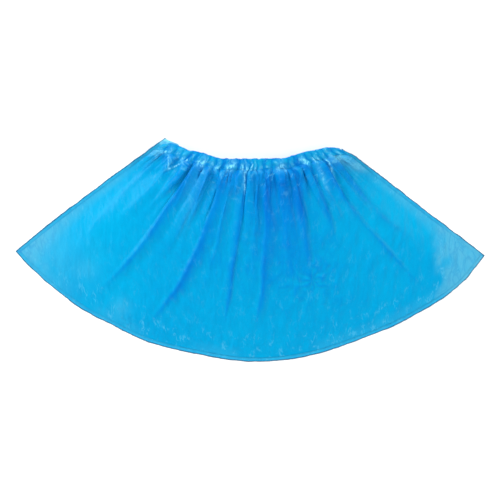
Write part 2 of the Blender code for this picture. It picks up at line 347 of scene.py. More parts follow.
class Film:
    """Points of one sheet of film, with what its finish needs to know at each of them."""

    def __init__(self, across, run):
        self.across, self.run = across, run
        self.length = full_run(across)
        self.below = np.maximum(0.0, run - HEM_DEPTH)
        self.share = self.below / (self.length - HEM_DEPTH)
        self.width = row_length_at(self.share)
        self.flow_x = (across - 0.5) * self.width
        self.flow_y = run
        self.slide = np.zeros_like(across)
        self.height = np.zeros_like(across)
        self.tint = np.zeros_like(across)
        self.milk = np.zeros_like(across)
        self.crinkle = np.zeros_like(across)
        # Pale: whitened film and painted highlights.
        self.pale = np.zeros_like(across)

    def side_gap(self):
        """How far each point is from the nearer side, along its row."""
        return np.minimum(self.across, 1 - self.across) * self.width

    def calm_sides(self):
        """1 over most of the film, and less beside the side welds, where it lies low."""
        slope = eased(0.0, SIDE_SLOPE, self.side_gap())
        return 1 - eased(0.0, 0.22, self.share) * (1 - slope)

    def points(self):
        """Where each point stands, slid along its row and raised."""
        plan = place(self.across, self.run)
        plan += across_way(self.across, self.run) * self.slide[..., None]
        return np.concatenate((plan, self.height[..., None]), -1)

    def facts(self):
        """What the finish reads at each point."""
        flat = np.zeros_like(self.flow_x)
        return {
            "tint": self.tint.ravel(),
            "milk": np.clip(self.milk, 0.0, 1.0).ravel(),
            "crinkle": np.clip(self.crinkle, 0.0, 1.0).ravel(),
            "pale": np.clip(self.pale, 0.0, 1.0).ravel(),
            "flow": np.stack((self.flow_x, self.flow_y, flat), -1).reshape(-1, 3),
        }


def arch(across):
    """How far open the mouth stands, from 0 at the sides to 1 in the middle."""
    return np.sin(math.pi * np.clip(across, 0.0, 1.0)) ** 0.8


def fold_profile(s):
    """A ridge over -1 to 1 whose crest stands near its sharp side, 1."""
    s = np.clip(s, -1.0, 1.0)
    return np.where(s < FOLD_CREST, eased(-1.0, FOLD_CREST, s), 1 - eased(FOLD_CREST, 1.0, s))


def fold_shade(s):
    """The doubled film's tint: it builds up slowly to the crest and ends softly beyond it."""
    s, crest = np.clip(s, -1.0, 1.0), TINT_CREST
    build = np.where(s < crest, eased(-1.2, crest, s) ** 1.7, 1 - eased(crest, 1.0, s))
    return 0.55 * build + 0.45 * bell(s - crest, 0.26)


def add_long_folds(film, folds, strength):
    """Raises, tips over and tints the film along folds like LONG_FOLDS."""
    for at_hem, half_way, at_end, reach, top, end, height, sharp, lean, tint in folds:
        along = np.clip(film.share / reach, 0.0, 1.2)
        middle = at_hem * (1 - along) * (1 - 2 * along) + 4 * half_way * along * (1 - along)
        middle += at_end * along * (2 * along - 1)
        waver = 0.8 * MM * lumps(film.run / 0.017, np.full_like(film.run, 7.3 * at_hem), 5)
        half = (top + (end - top) * np.minimum(along, 1.0)) * MM
        offset = ((film.across - middle) * film.width + waver) / half * sharp + SHARP_EDGE
        rise = eased(0.0, 0.06, along) * (1 - eased(0.50, 1.0, along))
        ridge = fold_profile(offset) * rise
        film.height += strength * height * MM * ridge
        film.slide += sharp * lean * MM * ridge * (1 - eased(0.05, 0.75, along))
        fade = eased(-0.02, 0.05, along) * (1 - eased(0.66, 1.06, along))
        fade *= 0.85 + 0.3 * lumps(film.run / 0.021, np.full_like(film.run, 5.1 * at_hem), 6)
        film.tint += tint * fold_shade(offset) * fade * (1 - 0.6 * np.clip(film.tint, 0, 1))


def small_folds(seed, furthest=0.50, tipped=1.0):
    """Rows like LONG_FOLDS for the many short folds that start in the gathers.

    Furthest is the longest one's reach, and tipped says how far they all lean.
    """
    random = np.random.default_rng(seed)
    for number in range(SMALL_FOLDS):
        at_hem = (number + random.uniform(0.15, 0.85)) / SMALL_FOLDS
        width = random.uniform(1.2, 3.0)
        end = at_hem + random.uniform(-0.02, 0.02)
        reach = random.uniform(0.10, furthest)
        height = width * random.uniform(0.40, 0.75)
        sharp = random.choice((-1, 1))
        lean = tipped * height * random.uniform(1.0, 1.6)
        tint = random.uniform(0.04, 0.15)
        half_way = (at_hem + end) / 2
        yield at_hem, half_way, end, reach, width, 1.9 * width, height, sharp, lean, tint


def add_pale_ridges(film):
    """Raises the film along PALE_RIDGES and makes it pale there: painted highlights, with some
    whitening.
    """
    for at_hem, at_end, reach, half, paleness in PALE_RIDGES:
        along = film.share / reach
        middle = at_hem + (at_end - at_hem) * along
        near = bell((film.across - middle) * film.width, half * MM)
        near *= 1 - eased(0.55, 1.1, along)
        film.pale += paleness * near
        film.height += 0.5 * MM * near * min(half, 1.5) * paleness


def add_star(film, across, share, radius, depth):
    """Creases that run out from one pinched spot."""
    x = (film.across - across) * film.width
    y = (film.share - share) * film.length
    reach = np.hypot(x, y) + 1e-6
    turn = np.arctan2(y, x) / (2 * math.pi) * STAR_RAYS
    turn += 0.5 * lumps(x / 0.004, y / 0.004, 15)
    ray = 1 - 4 * np.abs(turn - np.floor(turn + 0.5))
    near = np.exp(-reach / radius) * eased(0.0, 0.15 * radius, reach)
    film.height += depth * MM * ray * near
    film.tint += 0.18 * ray * near
    film.crinkle += 0.15 * near


def puff_height(across, run):
    """The gathers' puffs in metres, how near each point is to a pleat, and its paleness, which is
    painted highlight with some whitening.
    """
    height, cover, pale = (np.zeros_like(across) for _ in range(3))
    down = run / HEM_DEPTH
    bent = across + 0.012 * lumps(across * 12, down * 1.7, 12)
    bent += 0.005 * lumps(across * 34, down * 3.1, 13)
    full = 0.66 + 0.55 * lumps(across * 15, down * 2.3, 14)
    for middle, half, rise, paleness in HEM_PUFFS:
        s = np.abs(bent - middle) / half
        dome = np.sqrt(np.clip(1 - s**2.2, 0.0, 1.0))
        height = np.maximum(height, rise * MM * dome * full)
        cover = np.maximum(cover, np.clip(1.25 - s, 0.0, 1.0))
        pale = np.maximum(pale, paleness * (1 - eased(0.2, 0.95, s)))
    return height, 1 - eased(0.0, 0.45, cover), pale


def upper_hem_level(across):
    """The height of the strand in the upper hem."""
    low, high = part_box("upper_hem")
    lowest = (low.z + high.z - MOUTH_GAP) / 2
    return lowest + MOUTH_GAP * arch(across)


def lower_hem_level(across):
    """The height of the strand in the lower hem."""
    low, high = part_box("lower_hem")
    return np.full_like(across, (low.z + high.z) / 2)


def gather_tint(film, puffs, pleat):
    """How deep the film looks at the gathers, the same in the hem and just below it."""
    across, run = film.across, film.run
    sides = (1 - eased(0.0, 0.06, across)) + (1 - eased(0.0, 0.06, 1 - across))
    deep = 0.12 + 0.26 * eased(-0.6, 0.6, lumps(across * 17, run / 0.011, 30))
    ripple = creases(film.flow_x, film.flow_y, 0.0022, 2.6, 23, 6)
    tint = 0.40 + 0.16 * lumps(across * 17, run / 0.020, 8) - 0.12 * sides + 0.7 * deep * pleat
    tint += 0.14 * lumps(across * 60, run / 0.0043, 32) + 0.16 * ripple
    return np.minimum(tint - 0.14 * (puffs / MM - 0.6), 0.9)


def tip_milk(x):
    """How milky the loose corners are, the right one most."""
    return eased(0.1400, 0.1550, x) + 0.30 * eased(0.1350, 0.1650, -x)


def add_object(name, data):
    made = bpy.data.objects.new(name, data)
    bpy.context.scene.collection.objects.link(made)
    return made


def mesh_piece(name, points, faces, material, facts):
    """A smooth object of these points and quads, with a value per point for each fact."""
    mesh = bpy.data.meshes.new(name)
    mesh.vertices.add(len(points))
    mesh.vertices.foreach_set("co", np.asarray(points, np.float32).ravel())
    mesh.loops.add(faces.size)
    mesh.loops.foreach_set("vertex_index", faces.astype(np.int32).ravel())
    mesh.polygons.add(len(faces))
    mesh.polygons.foreach_set("loop_start", np.arange(0, faces.size, 4, np.int32))
    mesh.update(calc_edges=True)
    for column, values in facts.items():
        kind, field = ("FLOAT_VECTOR", "vector") if np.ndim(values) > 1 else ("FLOAT", "value")
        stored = mesh.attributes.new(column, kind, "POINT")
        stored.data.foreach_set(field, np.asarray(values, np.float32).ravel())
    mesh.materials.append(material)
    mesh.shade_smooth()
    return add_object(name, mesh)


def grid_faces(columns, rows):
    """Quads over a grid of (rows + 1) by (columns + 1) points, facing up."""
    number = np.arange((rows + 1) * (columns + 1)).reshape(rows + 1, columns + 1)
    corners = (number[:-1, :-1], number[1:, :-1], number[1:, 1:], number[:-1, 1:])
    return np.stack(corners, -1).reshape(-1, 4)


class Value:
    """A shader value that Python arithmetic turns into Math nodes."""

    def __init__(self, made, socket):
        self.made, self.socket = made, socket

    def math(self, operation, *others):
        inputs = dict(enumerate((self, *others)))
        return self.made.node("ShaderNodeMath", {"operation": operation}, inputs)

    def __add__(self, other):
        return self.math("ADD", other)

    def __sub__(self, other):
        return self.math("SUBTRACT", other)

    def __rsub__(self, other):
        return self.made.node("ShaderNodeMath", {"operation": "SUBTRACT"}, {0: other, 1: self})

    def __mul__(self, other):
        return self.math("MULTIPLY", other)

    __radd__, __rmul__ = __add__, __mul__

    def __abs__(self):
        return self.math("ABSOLUTE")

    def clamped(self, low=0.0):
        return self.math("MAXIMUM", low).math("MINIMUM", 1.0)

    def eased(self, low, high):
        settings = {"interpolation_type": "SMOOTHSTEP"}
        return self.made.node("ShaderNodeMapRange", settings, {0: self, 1: low, 2: high})


class Finish:
    """One Principled material and the nodes that feed it."""

    def __init__(self, name):
        self.material = bpy.data.materials.new(name)
        self.material.use_nodes = True
        self.nodes = self.material.node_tree.nodes
        self.shader = self.nodes["Principled BSDF"]

    def node(self, kind, settings=None, inputs=None, output=0):
        """A new node with these settings and inputs, as the value of one of its outputs."""
        made = self.nodes.new(kind)
        for setting, value in (settings or {}).items():
            if setting == "stops":
                for number, (position, colour) in enumerate(value):
                    ramp = made.color_ramp.elements
                    stop = ramp[number] if number < 2 else ramp.new(position)
                    stop.position, stop.color = position, (*colour, 1.0)
            else:
                setattr(made, setting, value)
        for socket, value in (inputs or {}).items():
            self.join(made.inputs[socket], value)
        return Value(self, made.outputs[output])

    def join(self, socket, value):
        """Links a value to a socket, or sets a constant on it."""
        if isinstance(value, Value):
            self.material.node_tree.links.new(value.socket, socket)
        elif socket.type == "RGBA":
            socket.default_value = (*value, 1.0)
        else:
            socket.default_value = value

    def set(self, **inputs):
        for socket, value in inputs.items():
            self.join(self.shader.inputs[socket.replace("_", " ")], value)

    def fact(self, name):
        """A value that the mesh stores at its points."""
        return self.node("ShaderNodeAttribute", {"attribute_name": name}, output="Fac")

    def flow(self, stretch):
        """The film's own coordinates, in metres, squeezed along the folds."""
        flow = self.node("ShaderNodeAttribute", {"attribute_name": "flow"}, output="Vector")
        scale = (1.0, 1.0 / stretch, 1.0)
        return self.node("ShaderNodeVectorMath", {"operation": "MULTIPLY"}, {0: flow, 1: scale})

    def position(self):
        return self.node("ShaderNodeTexCoord", output="Object")

    def noise(self, vector, scale, detail=3.0, roughness=0.55, distortion=0.0):
        inputs = {
            "Vector": vector,
            "Scale": scale,
            "Detail": detail,
            "Roughness": roughness,
            "Distortion": distortion,
        }
        return self.node("ShaderNodeTexNoise", None, inputs, "Fac")

    def threads(self, vector, scale, fineness, distortion=1.0):
        """Thin wandering lines, 1 along each line and 0 away from it."""
        value = self.noise(vector, scale, 2.0, 0.5, distortion)
        return (1 - abs(value - 0.5) * fineness).clamped()

    def mix(self, factor, first, second):
        settings = {"data_type": "RGBA", "clamp_factor": True}
        return self.node("ShaderNodeMix", settings, {0: factor, 6: first, 7: second}, 2)

    def bumped(self, height, distance):
        inputs = {"Height": height, "Distance": distance, "Strength": 1.0}
        return self.node("ShaderNodeBump", None, inputs, "Normal")


def film_finish(name, look, rough=0.0):
    """Thin glossy film. Doubled film is deeper in tint, and loose film is milkier. Wisps, crushed
    specks and pale places get painted highlights, partly standing for whitened creases.
    """
    finish = Finish(name)
    crinkle, milk, pale = finish.fact("crinkle"), finish.fact("milk"), finish.fact("pale")
    wide, long = finish.flow(1.3), finish.flow(3.0)
    mottle = finish.noise(wide, 60.0, 3.0)
    streak = finish.noise(long, 240.0, 3.0, 0.6)
    raw = finish.fact("tint")
    tint = raw + (mottle - 0.5) * 0.28 + (streak - 0.5) * 0.22
    stops = ((0.0, look.light), (0.34, look.body), (0.68, look.folded), (1.0, look.deep))
    ramp = finish.node(
        "ShaderNodeValToRGB",
        {"stops": [(at, tuple(colour)) for at, colour in stops]},
        {0: tint.clamped()},
    )
    cloud = finish.noise(wide, 95.0, 4.0, 0.62)
    milky = (milk * (0.25 + cloud * 1.1)).clamped()
    colour = finish.mix(milky, ramp, tuple(look.milky))
    cracks = finish.threads(wide, 95.0, 15.0) * milk * 0.26
    colour = finish.mix(cracks, colour, tuple(look.folded))
    spots = finish.noise(wide, 150.0, 2.0).eased(0.50, 0.68)
    # Painted highlights: thin light streaks on crinkled film, mixed towards the milky colour.
    glint_wisps = finish.threads(finish.flow(2.0), 300.0, 15.0, 0.3) * spots * crinkle
    # Painted highlight specks where the film is pale and crushed.
    glint_specks = finish.threads(long, 420.0, 7.0) * finish.noise(wide, 380.0).eased(0.40, 0.60)
    colour = finish.mix(glint_wisps * 0.50, colour, tuple(look.milky))
    # The painted highlight mask: the streaks, the specks and the pale places, which are partly
    # whitened creases.
    glint = (glint_wisps * 0.13 + glint_specks * pale * 1.5 * pale.clamped(0.25) + pale * 0.16).clamped()
    colour = finish.mix(glint, colour, tuple(look.crease_and_glint))
    colour = finish.mix(raw.eased(1.00, 1.40), colour, tuple(look.fused))
    fine = finish.noise(finish.flow(1.8), 340.0, 2.0, 0.55, 0.6)
    ridges = finish.threads(wide, 110.0, 7.0) + finish.threads(wide, 230.0, 9.0)
    relief = fine * 0.5 + ridges * (0.45 + crinkle * 0.9) + streak * 0.4
    finish.set(
        Base_Color=colour,
        Roughness=(cloud - 0.5) * 0.2 + (look.roughness + rough),
        Alpha=(milky * -look.clearing + look.opacity).clamped(),
        Normal=finish.bumped(relief, look.relief * MM),
    )
    finish.shader.inputs["Specular IOR Level"].default_value = look.gloss
    return finish.material


def rubber_finish(name, look):
    """The strand of spun rubber inside a hem, with its ribs."""
    finish = Finish(name)
    ribs = finish.node(
        "ShaderNodeTexWave",
        {"bands_direction": "X"},
        {"Vector": finish.position(), "Scale": 420.0, "Distortion": 1.2, "Detail": 1.0},
        "Fac",
    )
    shade = finish.noise(finish.position(), 160.0)
    finish.set(
        Base_Color=finish.mix(shade, tuple(look.folded), tuple(look.milky)),
        Roughness=shade * 0.2 + 0.5,
        Normal=finish.bumped(ribs, 0.0001),
    )
    return finish.material


def floor_finish(name, colour):
    """Matt pale board with the faintest tooth."""
    finish = Finish(name)
    tooth = finish.noise(finish.position(), 900.0, 2.0)
    finish.set(
        Base_Color=tuple(colour),
        Roughness=tooth * 0.1 + 0.85,
        Normal=finish.bumped(tooth, 0.00002),
    )
    finish.shader.inputs["Specular IOR Level"].default_value = 0.1
    return finish.material


def tint_upper_film(film, puffs, pleat, near, top):
    """Deepens the upper panel's tint at its middle, gathers and patches."""
    across, share = film.across, film.share
    bands = 0.18 * bell(across - 0.62, 0.11) * (1 - eased(0.40, 0.85, share))
    bands += 0.10 * bell(across - 0.50, 0.25) * (1 - eased(0.50, 1.00, share))
    sides = (1 - eased(0.02, 0.16, across)) + (1 - eased(0.02, 0.10, 1 - across))
    film.tint += 0.24 + bands - 0.20 * sides * (1 - top) + 0.10 * top
    gathered = 1 - eased(0.0, 0.013, film.below)
    film.tint += (gather_tint(film, puffs, pleat) - 0.7 * film.tint) * gathered
    film.tint += 0.06 * pleat * near**2 * (1 - gathered)
    for patch_across, patch_share, radius, depth in SOFT_PATCHES:
        aside = (across - patch_across) * film.width
        down = (share - patch_share) * film.length
        film.tint += depth * bell(np.hypot(aside, down * 0.8), radius * MM)


def whiten_upper_film(film, near, top):
    """Makes the film milky and crinkled by the welds, at the tips and in spots, with painted
    highlights in the spots.
    """
    across, run, share = film.across, film.run, film.share
    to_weld = film.length - run
    strip = 1 - eased(0.001, 0.006 + 0.013 * share**2, film.side_gap())
    strip *= 0.45 + 0.55 * share
    drift = 0.0030 * lumps(film.flow_x / 0.009, run / 0.009, 51)
    drift += 0.0012 * lumps(film.flow_x / 0.0035, run / 0.0035, 53)
    x = place(across, run)[..., 0]
    left_low = eased(0.55, 0.95, share) * (1 - eased(0.03, 0.20, across))
    low = (1 - eased(0.002, 0.009, to_weld)) * eased(-0.1, 0.5, lumps(across * 9, run * 0, 52))
    film.milk = 0.62 * strip * eased(0.05, 0.3, share) + 0.88 * tip_milk(x + 2 * drift)
    film.milk += 0.12 * low + 0.22 * left_low
    for spot_across, spot_run, radius, paleness in PALE_SPOTS:
        away = np.hypot((across - spot_across) * film.width, run - spot_run)
        spot = paleness * bell(away, radius * MM)
        film.milk += spot
        film.crinkle += spot
        # Painted highlight in each spot.
        film.pale += 0.5 * spot
    edge = 1 - eased(0.004, 0.026, to_weld)
    film.crinkle += 0.14 + 0.55 * edge + 0.7 * strip + 0.35 * near + 0.25 * top
    film.crinkle += 0.8 * bell(x - 0.1485, 0.003)


def crumple_upper_film(film, height, seed):
    """Crumples the upper panel, less by its welds, and evens out its deepest tint."""
    crumple = creases(film.flow_x, film.flow_y, 0.0095, 2.2, seed)
    fine = creases(film.flow_x, film.flow_y, 0.0040, 2.6, seed + 500, 6)
    calm = eased(0.0, 0.010, film.length - film.run)
    calm *= 0.25 + 0.75 * eased(0.0, 0.012, film.side_gap())
    film.height += height * (crumple + 0.40 * fine) * calm
    film.tint += 0.10 * crumple + 0.07 * fine
    film.tint = np.where(film.tint > 0.55, 0.55 + 0.6 * (film.tint - 0.55), film.tint)


def upper_film(shape, across, run):
    """The upper panel: an arch between the welds, folds, gathers and crumples."""
    film = Film(across, run)
    fade = film.calm_sides()
    film.height += (upper_hem_level(across) - shape.edge_lift) * (1 - film.share**2.2)
    add_long_folds(film, LONG_FOLDS, shape.fold_height)
    add_long_folds(film, small_folds(shape.seed, tipped=0.8), 0.88 * shape.fold_height)
    add_pale_ridges(film)
    add_star(film, 0.657, 0.63, 0.020, 0.3)
    add_star(film, 0.250, 0.97, 0.004, 0.6)
    film.height = shape.edge_lift + film.height * fade
    film.slide *= fade
    puffs, pleat, pale = puff_height(across, run)
    near = 1 - eased(0.0, 0.030, film.below)
    top = 1 - eased(0.0, 0.30, film.share)
    film.height += (puffs - 0.5 * MM) * near * fade
    # Painted highlights of the hem's puffs, carried just below the hem.
    film.pale += pale * (1 - eased(0.0, 0.006, film.below)) ** 1.5
    tint_upper_film(film, puffs, pleat, near, top)
    whiten_upper_film(film, near, top)
    crumple_upper_film(film, shape.crumple * MM, shape.seed)
    film.height = np.maximum(film.height, shape.edge_lift * 0.8)
    return film


def lower_film(shape, across, run):
    """The lower panel, nearly flat on the surface."""
    film = Film(across, run)
    into_hem = 1 - eased(HEM_DEPTH, HEM_DEPTH + 0.022, run)
    crumple = creases(film.flow_x, film.flow_y, 0.011, 2.2, shape.seed + 900)
    calm = eased(0.0, 0.012, film.side_gap()) * eased(0.0, 0.012, film.length - run)
    add_long_folds(film, small_folds(shape.seed + 5, furthest=1.15), 0.8 * shape.fold_height)
    film.height *= film.calm_sides() * eased(0.0, 0.004, run - HEM_DEPTH)
    film.slide *= film.calm_sides()
    film.height += LOWER_LEVEL + (lower_hem_level(across) - LOWER_LEVEL) * into_hem
    film.height += 0.35 * MM * (1 + crumple) * calm * (1 - into_hem)
    film.tint += 0.35 + 0.1 * crumple
    film.crinkle += 0.3
    return film


def add_panel(name, maker, columns, rows, material, shape):
    """A panel from inside its hem down to the bottom weld."""
    down = np.linspace(0, 1, rows + 1) ** 0.92
    across, down = np.meshgrid(np.linspace(0, 1, columns + 1), down)
    start = HEM_DEPTH - FILM_IN_HEM
    film = maker(shape, across, start + (full_run(across) - start) * down)
    points = film.points().reshape(-1, 3)
    return mesh_piece(name, points, grid_faces(columns, rows), material, film.facts())


def add_hem(name, level, rise, material, seed):
    """Film folded over the elastic: the outer leaf, the fold, and the inner leaf."""
    turn = np.linspace(0, math.pi, FOLD_ROWS + 1)[1:-1]
    leaf = np.linspace(0, 1, LEAF_ROWS + 1)
    out = np.concatenate((1 - leaf, np.zeros_like(turn), leaf))
    bulge = np.concatenate((np.zeros_like(leaf), np.sin(turn), np.zeros_like(leaf)))
    side = np.concatenate((np.ones_like(leaf), np.cos(turn), -np.ones_like(leaf)))
    across, out = np.meshgrid(np.linspace(0, 1, HEM_COLUMNS + 1), out)
    bulge, side = (np.repeat(column[:, None], HEM_COLUMNS + 1, 1) for column in (bulge, side))
    scallop = 0.35 * MM * lumps(across * 70, 0 * across, seed)
    scallop += 1.1 * MM * out**2 * lumps(across * 29, 0 * across, seed + 1)
    run = HEM_RADIUS * (1 - bulge) + (HEM_DEPTH - HEM_RADIUS) * out + scallop
    film = Film(across, run)
    puffs, pleat, pale = puff_height(across, run)
    sealed = eased(0.30, 1.0, out) * (side > 0)
    pull = np.sin(math.pi * np.clip(out, 0, 1)) * 0.5 + 0.5
    ripple = creases(film.flow_x, film.flow_y, 0.0022, 2.6, seed, 6)
    crushed = creases(film.flow_x, film.flow_y, 0.0042, 1.2, 91, 5)
    half = HEM_RADIUS * (1 - 0.5 * out) + 0.30 * MM * ripple * pull
    half += rise * puffs * (0.26 + 0.38 * pull)
    half += (0.15 + 0.25 * rise) * MM * crushed * pull
    shut = rise * (puffs - 0.5 * MM) + 0.18 * MM + 0.10 * MM * ripple
    film.height = level(across) + side * (np.maximum(half, 0.4 * MM) * (1 - sealed))
    film.height += shut * sealed
    film.slide = 0.6 * MM * lumps(across * 46, out * 2.2, seed + 3) * pull
    film.slide += 1.3 * MM * lumps(across * 19, out * 1.1, seed + 5) * (out - 0.3)
    film.tint = gather_tint(film, puffs, pleat) + 0.18 * bulge - 0.10 * crushed
    film.crinkle = 0.45 + 0.5 * (1 - pleat)
    # The puffs and the crushed ridges get painted highlights, with some whitening.
    film.pale = pale * (0.35 + 0.75 * eased(0.15, 0.7, out))
    film.pale += 0.5 * eased(0.25, 0.75, crushed) * (side > 0)
    faces = grid_faces(HEM_COLUMNS, len(out) - 1)
    return mesh_piece(name, film.points().reshape(-1, 3), faces, material, film.facts())


def outward(line):
    """The unit normals in plan of a line of points, to the left of the way it runs."""
    way = np.gradient(line, axis=0)
    way /= np.linalg.norm(way, axis=1)[:, None]
    return np.stack((-way[:, 1], way[:, 0]), 1)


# Across a welded ribbon: out as a share of its width, the rise in millimetres, and the tint.
RIBBON = (
    (-0.35, 0.05, 0.20),
    (0.00, 0.16, 0.20),
    (0.10, 0.22, 0.28),
    (0.20, 0.24, 0.26),
    (0.30, 0.15, 0.16),
    (0.52, 0.16, 0.14),
    (0.76, 0.20, 0.24),
    (0.80, 0.22, 1.40),
    (0.90, 0.20, 1.50),
    (1.00, 0.10, 1.50),
)


def mitre(before, after):
    """Where the outer edges of two ribbons meet, for ribbons 1 wide."""
    return (before + after) / (1 + float(before @ after))


def add_weld(name, line, level, material, seed, side, start, end, tab, taper):
    """A flat ribbon of fused film along a line, with a pressed bead and a wavy edge.

    It grows to the line's left where side is 1, and to its right where side is -1.
    Start and end are its corners' mitres, or None. A tab widens its first end inwards into
    a flap of loose film, and a taper narrows that end.
    """
    normal = side * outward(line)
    length = np.concatenate(((0,), np.cumsum(np.linalg.norm(np.diff(line, axis=0), axis=1))))
    upward = (line[0] - line[8]) / np.linalg.norm(line[0] - line[8])
    calm, tip = np.ones_like(length), np.zeros_like(length)
    for corner, reach in ((start, length), (end, length[-1] - length)):
        if corner is not None:
            tip += 1 - eased(0.0005, 0.0018, reach)
            near = (1 - eased(0.0, 0.007, reach))[:, None]
            normal = normal * (1 - near) + corner * near
            calm *= 1 - near[:, 0]
    wide = WELD_WIDTH * (taper + (1 - taper) * eased(0.0, 0.014, length))
    wave = lumps(length / 0.007, 0 * length, seed)
    small = lumps(length / 0.0021, 0 * length, seed + 1)
    flap = (1 - eased(0.0025, 0.0080, length)) * (tab > 0)
    ragged = 1 + 0.22 * lumps(length / 0.0022, 0 * length, seed + 4)
    rows = len(RIBBON)
    grid = np.zeros((rows, len(line), 3))
    tint, milk = np.zeros((2, rows, len(line)))
    for row, (out, rise, depth) in enumerate(RIBBON):
        swing = max(out, 0.0) ** 2 * calm
        inner = max(0.45 - out, 0.0) / 0.80 * flap * ragged
        reach = wide * out + swing * (0.30 * wave + 0.12 * small) * MM - tab * inner
        shear = 0.95 * tab * inner
        grid[row, :, :2] = line + normal * reach[:, None] + upward * shear[:, None]
        crinkled = (0.5 * lumps(length / 0.0012, 0 * length + row, seed + 2) + 2.2 * inner) * flap
        grid[row, :, 2] = level + (rise + swing * 0.08 * (2 + wave + small) + crinkled) * MM
        tint[row] = depth + 0.12 * small - 0.25 * flap + 0.5 * tip
        milk[row] = 0.25 + 0.6 * flap + 0.7 * tip_milk(line[:, 0])
    steps = np.repeat(np.arange(rows) * MM, len(line))
    facts = {
        "tint": tint.ravel(),
        "milk": np.minimum(milk.ravel(), 1.0),
        "crinkle": np.full(tint.size, 0.6),
        # The loose flap is whitened, and gets painted highlight specks through the pale mask.
        "pale": np.tile(2.2 * flap, rows),
        "flow": np.stack((np.tile(length, rows), steps, 0 * steps), -1),
    }
    faces = grid_faces(len(line) - 1, rows - 1)[:, ::side]
    made = mesh_piece(name, grid.reshape(-1, 3), faces, material, facts)
    wall = made.modifiers.new("fused_film", "SOLIDIFY")
    wall.thickness = FUSED_THICKNESS
    wall.offset = 0.0
    return made


def add_strand(name, level, material):
    """The elastic in a hem's fold, slightly wavy where the hem is slack."""
    curve = bpy.data.curves.new(name, "CURVE")
    curve.dimensions = "3D"
    curve.bevel_depth = STRAND_RADIUS
    curve.bevel_resolution = 2
    curve.use_fill_caps = True
    across = np.linspace(0.004, 0.996, STRAND_POINTS)
    run = STRAND_RUN + 0.5 * MM * lumps(across * 30, 0 * across, 41)
    points = np.concatenate((place(across, run), level(across)[:, None]), 1)
    strand = curve.splines.new("POLY")
    strand.points.add(len(points) - 1)
    strand.points.foreach_set("co", np.c_[points, np.ones(len(points))].ravel())
    curve.materials.append(material)
    return add_object(name, curve)


class CoverShape(bpy.types.PropertyGroup):
    """Sizes of the film's relief."""

    fold_height: bpy.props.FloatProperty(
        name="Fold height",
        description="Height of the folds, as a share of the tables' values",
        default=1.0,
        min=0.0,
        max=2.0,
    )
    edge_lift: bpy.props.FloatProperty(
        name="Edge lift",
        description="Height of the upper film at the welds",
        default=0.0007,
        subtype="DISTANCE",
        unit="LENGTH",
    )
    crumple: bpy.props.FloatProperty(
        name="Crumple",
        description="Height of the crumpled film's creases, in millimetres",
        default=0.65,
        min=0.0,
    )
    seed: bpy.props.IntProperty(
        name="Seed", description="Which random creases the film gets", default=11
    )


def colour_property(name, description, default):
    return bpy.props.FloatVectorProperty(
        name=name, description=description, default=default, subtype="COLOR", min=0, max=1
    )


class FilmLook(bpy.types.PropertyGroup):
    """Colours and gloss of the film."""

    light: colour_property("Light", "Film that lies smooth", (0.0, 0.349, 0.632))
    body: colour_property("Body", "Most of the film", (0.0, 0.293, 0.585))
    folded: colour_property("Folded", "Doubled film", (0.0, 0.205, 0.567))
    deep: colour_property("Deep", "Film in the deepest pleats", (0.0, 0.134, 0.525))
    milky: colour_property("Milky", "Loose film by the welds", (0.095, 0.47, 0.70))
    # The colour of whitened creases, also used for the painted highlights.
    crease_and_glint: colour_property("Crease", "Whitened creases", (0.19, 0.67, 0.91))
    fused: colour_property("Fused", "The fused outer line", (0.01, 0.14, 0.26))
    roughness: bpy.props.FloatProperty(
        name="Roughness", description="Roughness of smooth film", default=0.30, min=0, max=1
    )
    gloss: bpy.props.FloatProperty(
        name="Gloss", description="Specular level of the film", default=0.05, min=0, max=1
    )
    opacity: bpy.props.FloatProperty(
        name="Opacity", description="Alpha of smooth film", default=0.97, min=0, max=1
    )
    clearing: bpy.props.FloatProperty(
        name="Clearing", description="Alpha that milky film loses", default=0.15, min=0, max=1
    )
    relief: bpy.props.FloatProperty(
        name="Relief", description="Depth of the finest wrinkles, in millimetres", default=0.10
    )


class StudioLook(bpy.types.PropertyGroup):
    """The camera, the light and the floor."""

    framed_width: bpy.props.FloatProperty(
        name="Framed width",
        description="Width of the view on the floor",
        default=0.383,
        subtype="DISTANCE",
        unit="LENGTH",
    )
    lens: bpy.props.FloatProperty(
        name="Lens", description="Focal length in millimetres", default=135.0
    )
    key: bpy.props.FloatProperty(name="Key", description="Power of the key light", default=21.0)
    fill: bpy.props.FloatProperty(
        name="Fill", description="Power of each other light", default=7.8
    )
    sky: bpy.props.FloatProperty(
        name="Sky", description="Strength of the even light", default=0.42
    )
    floor: colour_property("Floor", "Colour of the floor", (0.99, 0.99, 0.99))


class SHOECOVER_OT_panels(bpy.types.Operator):
    """Builds the two film panels of the pouch"""

    bl_idname = "shoecover.panels"
    bl_label = "Film panels"

    def execute(self, context):
        shape, look = context.scene.cover_shape, context.scene.film_look
        film = film_finish("blue film", look)
        for name, maker, columns, rows in (
            ("lower_film", lower_film, LOWER_COLUMNS, LOWER_ROWS),
            ("upper_film", upper_film, UPPER_COLUMNS, UPPER_ROWS),
        ):
            panel = add_panel(name, maker, columns, rows, film, shape)
            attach(panel, "root")
            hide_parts(name.replace("film", "panel"))
        return {"FINISHED"}


class SHOECOVER_OT_hems(bpy.types.Operator):
    """Builds the gathered hems"""

    bl_idname = "shoecover.hems"
    bl_label = "Gathered hems"

    def execute(self, context):
        film = film_finish("hem film", context.scene.film_look)
        for name, level, rise, seed in (
            ("lower_hem_film", lower_hem_level, 0.35, 61),
            ("upper_hem_film", upper_hem_level, 1.0, 23),
        ):
            hem = add_hem(name, level, rise, film, seed)
            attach(hem, "root")
            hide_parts(name.replace("_film", ""))
        return {"FINISHED"}


